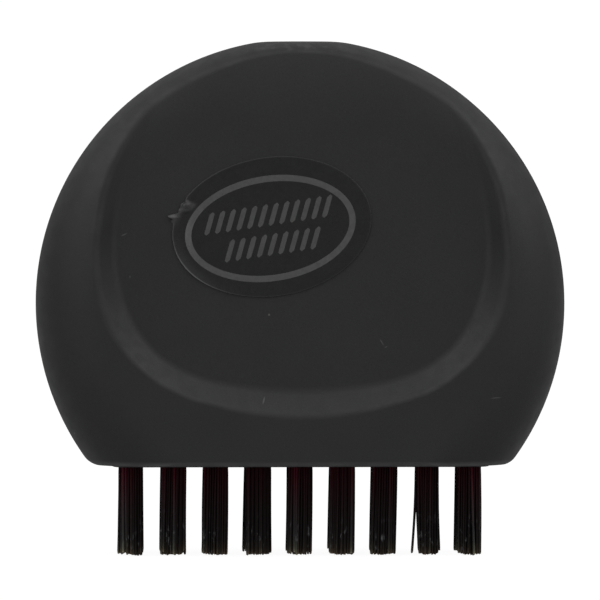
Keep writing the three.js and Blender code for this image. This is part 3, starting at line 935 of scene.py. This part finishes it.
def add_scuffs_and_highlights(m, colour):
    """Scraped crown with painted glints on it, and a painted highlight along the foot edge."""
    place = m.xyz(m.place)
    z = place["Z"]
    pale = grey(SCUFF_AND_HIGHLIGHT_GREY, PLASTIC_TINT)

    def band(axis, off, full):
        """0 at one coordinate and 1 at the other."""
        low, high = min(off, full) * MM, max(off, full) * MM
        return m.map_range(axis, low, high, float(off > full), float(off < full))

    # small scuffs on the crown's flat and just below it, painted pale with their glints
    off_centre = m.math("ABSOLUTE", place["X"])
    patches = m.ramp(m.noise(scale=1300.0, detail=3.0, roughness=0.6), (0.50, 0.05), (0.62, 1))
    scraped = m.math("MULTIPLY", band(z, CROWN - 0.85, CROWN - 0.45), band(off_centre, 5.2, 4.0))
    scraped = m.math("MULTIPLY", scraped, patches)
    colour = m.toward(colour, m.math("MULTIPLY", scraped, 0.5), pale)
    # painted highlight: paler along the rounded foot edge
    foot = m.math("MULTIPLY", band(z, FOOT + 0.50, FOOT + 0.20), band(z, FOOT + 0.005, FOOT + 0.06))
    patchy_highlight = m.ramp(m.noise(scale=600.0, detail=2.0), (0.3, 0.6), (0.65, 1))
    return m.toward(colour, m.math("MULTIPLY", foot, patchy_highlight), pale)


def add_scratches(m, colour):
    marks = None
    for x, z, turn, half_length, half_width in SCRATCHES:
        mapping = m.node("Mapping", {
            "Location": (x * MM, SCRATCH_Y * MM, z * MM),
            "Rotation": (0, math.radians(-turn), 0),
            "Scale": (half_length * MM, SCRATCH_REACH_Y * MM, half_width * MM),
            "Vector": m.place,
        }, vector_type="TEXTURE")
        away = m.node("VectorMath", {0: mapping.outputs["Vector"]}, operation="LENGTH")
        mark = m.map_range(away.outputs["Value"], 0.4, 1.05, 1.0, 0.0)
        marks = m.math("MAXIMUM", marks, mark) if marks else mark
    return m.toward(colour, m.math("MULTIPLY", marks, 0.8), grey(SCRATCH_GREY, PLASTIC_TINT))


def moulded(name, level, roughness, grain, marked_and_highlit):
    """Black moulded plastic; a marked piece also has dust, scuffs with painted glints on the crown,
    a painted highlight along the foot, and scratches.
    """
    m = Material(name, noise_roughness=0.55)
    colour = plastic_colour(m, level)
    if marked_and_highlit:
        colour = add_scratches(m, add_scuffs_and_highlights(m, add_dust(m, colour)))
    rough = m.spread(m.noise(scale=900.0, detail=4.0), *roughness)
    # fine pits over a slightly uneven skin
    pits = m.voronoi(scale=6200.0, feature="SMOOTH_F1")["Distance"]
    pits = m.math("ADD", pits, m.noise(scale=9500.0, detail=2.0))
    normal = m.bump(pits, strength=0.16 * grain, distance=0.00003)
    uneven = m.noise(scale=240.0, detail=2.0)
    normal = m.bump(uneven, strength=0.10, distance=0.0002, under=normal)
    return m.surface(colour, rough, normal, Specular_IOR_Level=0.42)


# ------------------------------------------------------------------ bristle, root, wire
STRAND_COLOURS = [                    # share of the length from the top, colour
    (0.0, (0.0250, 0.0010, 0.0036)), (0.17, (0.0215, 0.0014, 0.0034)),
    (0.34, (0.0150, 0.0032, 0.0042)), (0.52, (0.0110, 0.0052, 0.0056)),
    (0.72, (0.0092, 0.0064, 0.0064)), (0.86, (0.0110, 0.0092, 0.0086)),
    (0.94, (0.021, 0.0160, 0.0120)), (0.985, (0.047, 0.0345, 0.0240)),
    (1.0, (0.104, 0.078, 0.056)),
]
# high tones also carry the painted light on the strands at each tuft's left side
STRAND_TONE_AND_LIGHT = [                      # tone, factor on the colour
    (0.0, 0.55), (0.5, (0.95, 0.94, 0.92)), (0.86, 1.45),
    (0.95, (2.1, 2.5, 2.5)), (1.0, (3.4, 4.4, 4.4)),
]
# where along the strands the painted glints appear
GLINT_ZONE = [(0.52, 0), (0.70, 0.25), (0.80, 1), (0.93, 0.6), (1.0, 0.1)]  # share, strength


def strand_material():
    m = Material("bristle_nylon")
    strand = m.xyz(m.attribute("strand", "Vector"))
    along, tone_and_light = strand["X"], strand["Y"]
    colour = m.times(m.ramp(along, *STRAND_COLOURS), m.ramp(tone_and_light, *STRAND_TONE_AND_LIGHT))
    # painted glints: small pale highlight spots near the tips
    m.stretch((1, 1, 0.45))
    mottle = m.noise(scale=2300.0, detail=3.0, roughness=0.6)
    glint_spots = m.ramp(mottle, (0.58, 0), (0.70, 1))
    painted_glints = m.math("MULTIPLY", glint_spots, m.ramp(along, *GLINT_ZONE))
    colour = m.toward(colour, m.math("MULTIPLY", painted_glints, 0.95), (0.15, 0.15, 0.155))
    normal = m.bump(m.noise(scale=6000.0, detail=2.0), strength=0.12, distance=0.00002)
    return m.surface(colour, m.spread(mottle, 0.38, 0.55), normal, Specular_IOR_Level=0.10)


def root_material():
    m = Material("root_nylon")
    m.stretch((1, 1, 0.08))
    fibres = m.noise(scale=4200.0, detail=2.0)
    colour = m.spread(fibres, (0.003, 0.002, 0.002), (0.011, 0.007, 0.006))
    normal = m.bump(fibres, strength=0.6, distance=0.0001)
    return m.surface(colour, m.spread(fibres, 0.38, 0.55), normal)


def wire_material():
    m = Material("anchor_wire")
    m.stretch((0.1, 1, 1))
    streaks = m.noise(scale=9000.0, detail=3.0)
    colour = m.spread(streaks, (0.42, 0.30, 0.12), (0.60, 0.45, 0.20))
    normal = m.bump(streaks, strength=0.2, distance=0.00002)
    return m.surface(colour, m.spread(streaks, 0.25, 0.42), normal, Metallic=1.0)


# ------------------------------------------------------------------ label materials
def film_material():
    m = Material("label_film")
    ripple = m.noise(scale=700.0, detail=3.0)
    fine = m.noise(scale=3600.0, detail=2.0)
    clear = m.spread(fine, (0.0074, 0.0074, 0.0077), (0.0110, 0.0110, 0.0114))
    # painted highlight: the film turns pale along its cut edge and on its torn, creased corner
    colour = m.toward(clear, m.attribute("painted_highlight"), (0.13, 0.13, 0.132))
    normal = m.bump(ripple, strength=0.12, distance=0.0001)
    return m.surface(colour, m.spread(ripple, 0.20, 0.32), normal, Specular_IOR_Level=0.42)


def ink_material():
    m = Material("label_ink")
    mottle = m.noise(scale=3000.0, detail=4.0, roughness=0.6)
    cloudy = m.ramp(mottle, (0.28, 0.86), (0.5, 1), (0.72, 1.12))
    # tone of the print, with the painted highlight at the ring's left end
    tone_and_light = m.ramp(m.attribute("tone_and_light"), (0.0, 0.069), (0.5, 0.077), (1.0, 0.112))
    normal = m.bump(mottle, strength=0.15, distance=0.00002)
    return m.surface(m.times(tone_and_light, cloudy), m.spread(mottle, 0.35, 0.5), normal)


# ------------------------------------------------------------------ build
def paint(ob, material):
    ob.data.materials.clear()
    ob.data.materials.append(material)


handle_plastic = moulded("handle_plastic", level=0.0165, roughness=(0.45, 0.56),
                         grain=1.0, marked_and_highlit=True)
block_plastic = moulded("block_plastic", level=0.0150, roughness=(0.46, 0.58),
                        grain=0.7, marked_and_highlit=False)
strands, roots, wire = strand_material(), root_material(), wire_material()

paint(shell("front_shell", -1), handle_plastic)
paint(shell("back_shell", 1), handle_plastic)
paint(block(), block_plastic)
for row in ROWS:
    for tuft in TUFTS:
        paint(bristle(row, tuft), strands)
        paint(frame["nodes"][f"{row}_root_{tuft}"], roots)
        paint(frame["nodes"][f"{row}_anchor_{tuft}"], wire)
paint(film(), film_material())
paint(ink(), ink_material())

# ------------------------------------------------------------------ surroundings
LOBES = [                             # broad soft lights: direction towards, sharpness, strength
    ((-0.464, 0.803, 0.375), 12, 0.415),
    ((-0.882, 0.287, 0.375), 12, 0.073),
    ((-0.684, 0.222, 0.695), 12, 0.331),
    ((-0.704, -0.150, 0.695), 12, 1.729),
    ((-0.731, -0.571, 0.375), 12, 0.575),
    ((-0.469, -0.883, 0.000), 12, 0.709),
    ((-0.435, -0.819, 0.375), 12, 0.358),
    ((0.469, -0.883, 0.000), 12, 0.683),
    ((0.338, -0.635, 0.695), 12, 0.198),
    ((0.788, -0.616, 0.000), 12, 0.044),
    ((0.731, -0.571, 0.375), 12, 0.543),
    ((0.567, -0.443, 0.695), 12, 0.010),
    ((0.907, -0.193, 0.375), 12, 0.351),
    ((0.704, -0.150, 0.695), 12, 1.483),
    ((0.882, 0.287, 0.375), 12, 0.295),
    ((0.464, 0.803, 0.375), 12, 0.269),
    ((0.360, 0.623, 0.695), 12, 0.215),
    ((0.000, -0.407, 0.914), 10, 0.757),
    ((0.407, -0.000, 0.914), 10, 0.255),
    ((0.000, 0.643, 0.766), 10, 0.330),
]
BACKDROP = 0.985                      # what the camera sees behind the brush


def surroundings():
    """Lights the brush with the sum of the lobes, and shows the camera a plain backdrop."""
    world = bpy.data.worlds.new("studio")
    scene.world = world
    world.use_nodes = True
    world.node_tree.nodes.clear()
    w = Nodes(world.node_tree)
    direction = w.node("TexCoord").outputs["Generated"]
    total = 0.0
    for towards, sharpness, strength in LOBES:
        dot = w.node("VectorMath", {0: direction, 1: towards}, operation="DOT_PRODUCT")
        lobe = w.math("POWER", w.math("MAXIMUM", dot.outputs["Value"], 0.0), sharpness)
        total = w.math("MULTIPLY_ADD", lobe, strength, total)
    to_camera = w.node("LightPath").outputs["Is Camera Ray"]
    colour = w.toward(total, to_camera, grey(BACKDROP))
    background = w.node("Background", {"Color": colour, "Strength": 1.0})
    w.node("OutputWorld", {"Surface": background.outputs["Background"]})


def key_light():
    """Square area light above and in front, aimed at the handle's centre; lengths in metres."""
    towards, distance, size = Vector((0.0, -0.407, 0.914)), 0.45, 0.30
    light = bpy.data.lights.new("key", "AREA")
    light.shape = "RECTANGLE"
    light.size, light.size_y = size, size
    light.energy = 0.10
    ob = bpy.data.objects.new("key", light)
    ob.location = Vector((0, 0, OUTLINE_Z * MM)) + towards * distance
    ob.rotation_euler = (-towards).to_track_quat("-Z", "Y").to_euler()
    ob.visible_camera = False
    scene.collection.objects.link(ob)


def floor_material():
    """Nearly white to the camera, darker to the light that bounces onto the brush."""
    material = bpy.data.materials.new("floor")
    material.use_nodes = True
    material.node_tree.nodes.clear()
    f = Nodes(material.node_tree)

    def glowing(level, strength):
        diffuse = f.node("BsdfDiffuse", {"Color": (*grey(level), 1)})
        glow = f.node("Emission", {"Color": (1, 1, 1, 1), "Strength": strength})
        return f.node("AddShader", {0: diffuse.outputs[0], 1: glow.outputs[0]}).outputs[0]

    seen = glowing(level=0.12, strength=0.95)
    bounced = glowing(level=0.16, strength=0.226)
    to_camera = f.node("LightPath").outputs["Is Camera Ray"]
    mix = f.node("MixShader", {0: to_camera, 1: bounced, 2: seen})
    f.node("OutputMaterial", {"Surface": mix.outputs[0]})
    return material


def floor():
    """Pale floor just under the bristle tips."""
    half = 7.0                        # metres
    material = floor_material()
    mesh = bpy.data.meshes.new("floor")
    corners = [(-half, -half, 0), (half, -half, 0), (half, half, 0), (-half, half, 0)]
    mesh.from_pydata(corners, [], [(0, 1, 2, 3)])
    mesh.materials.append(material)
    ob = link_object("floor", mesh)
    ob.location.z = -0.12 * MM


def camera():
    """Far off in front, a little above the brush and a little to its left."""
    yaw, pitch_down = math.radians(1.6), math.radians(2.7)
    distance, view_width = 1400.0, 56.7751703
    look = Vector((math.sin(yaw) * math.cos(pitch_down),
                   math.cos(yaw) * math.cos(pitch_down),
                   -math.sin(pitch_down)))
    data = bpy.data.cameras.new("camera")
    data.sensor_width = 36.0
    data.lens = data.sensor_width * distance / view_width
    data.shift_x, data.shift_y = 0.000083333, 0.0055      # shares of the view width
    data.clip_start, data.clip_end = 0.05, 40             # metres
    ob = bpy.data.objects.new("camera", data)
    ob.location = (Vector((0, 0, OUTLINE_Z)) - distance * look) * MM
    ob.rotation_euler = look.to_track_quat("-Z", "Y").to_euler()
    scene.collection.objects.link(ob)
    scene.camera = ob


surroundings()
key_light()
floor()
camera()
scene.view_settings.view_transform = "Standard"
scene.view_settings.look = "None"
